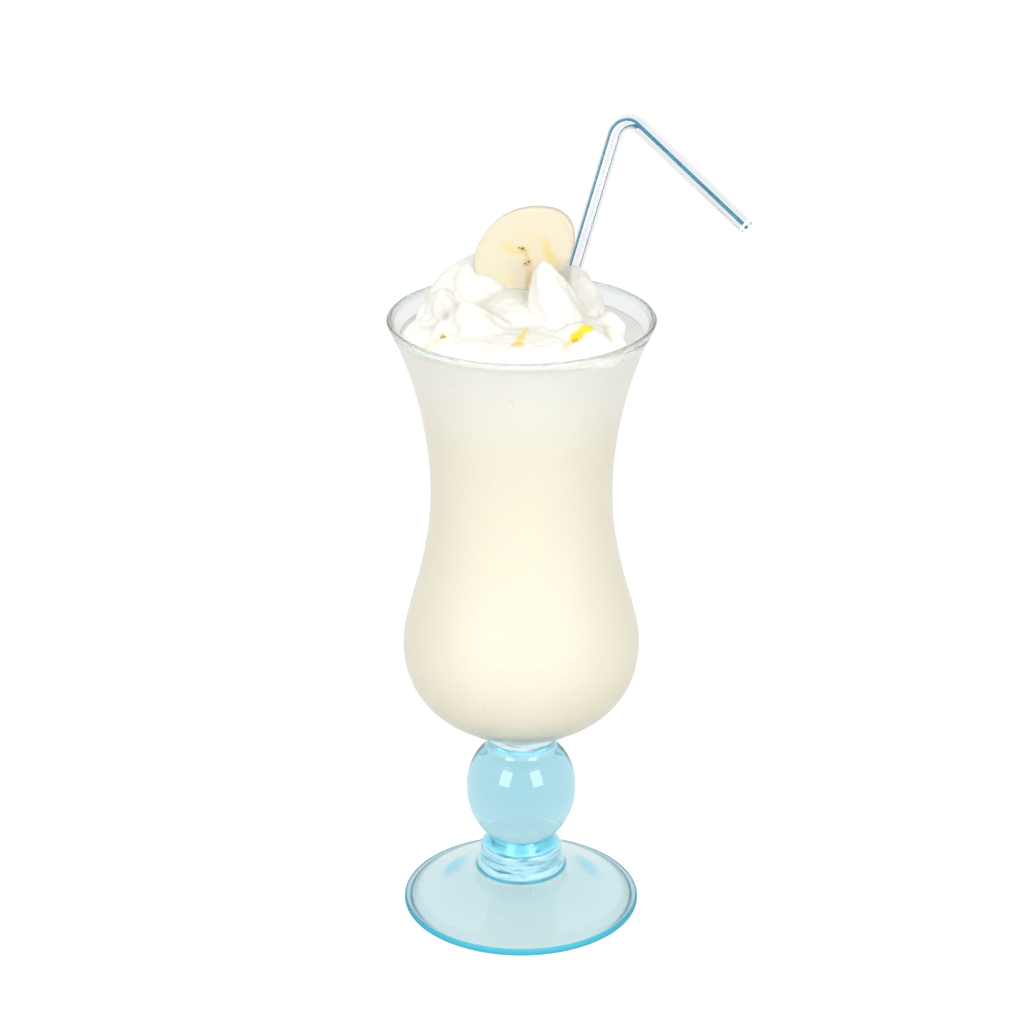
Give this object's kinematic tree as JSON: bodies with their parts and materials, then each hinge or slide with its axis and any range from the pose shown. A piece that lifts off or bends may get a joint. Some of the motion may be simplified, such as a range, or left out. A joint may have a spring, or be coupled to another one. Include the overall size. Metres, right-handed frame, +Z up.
{
  "type": "banana milkshake in a stemmed glass",
  "caption": "Banana milkshake in a tall waisted clear glass on a blue ball stem, topped with whipped cream, a round of banana and a bent drinking straw.",
  "frame": {"origin": "centre of the flat ring that the foot stands on, level with its underside and on the glass's axis", "axes": "+Z up along the glass's axis; -Y is the front, towards the viewer of the picture; +X is the side that the straw bends to"},
  "size_m": [0.1103, 0.0888, 0.2486],
  "materials": {
    "clear_glass": "clear polished glass, grey-green at its edges",
    "blue_glass": "clear polished pale blue glass, deeper cyan where it is thick",
    "milkshake": "opaque creamy drink, smooth, with a pale foam at its top",
    "cream": "soft moist whipped cream with yellow patches of syrup",
    "banana": "moist pale yellow flesh with small brown seeds",
    "straw": "clear thin plastic with blue stripes"
  },
  "bodies": {
    "root": {"glass_bowl": "clear_glass", "glass_stem": "blue_glass", "milkshake": "milkshake", "whipped_cream": "cream", "banana_slice": "banana", "straw": "straw"}
  },
  "joints": []
}
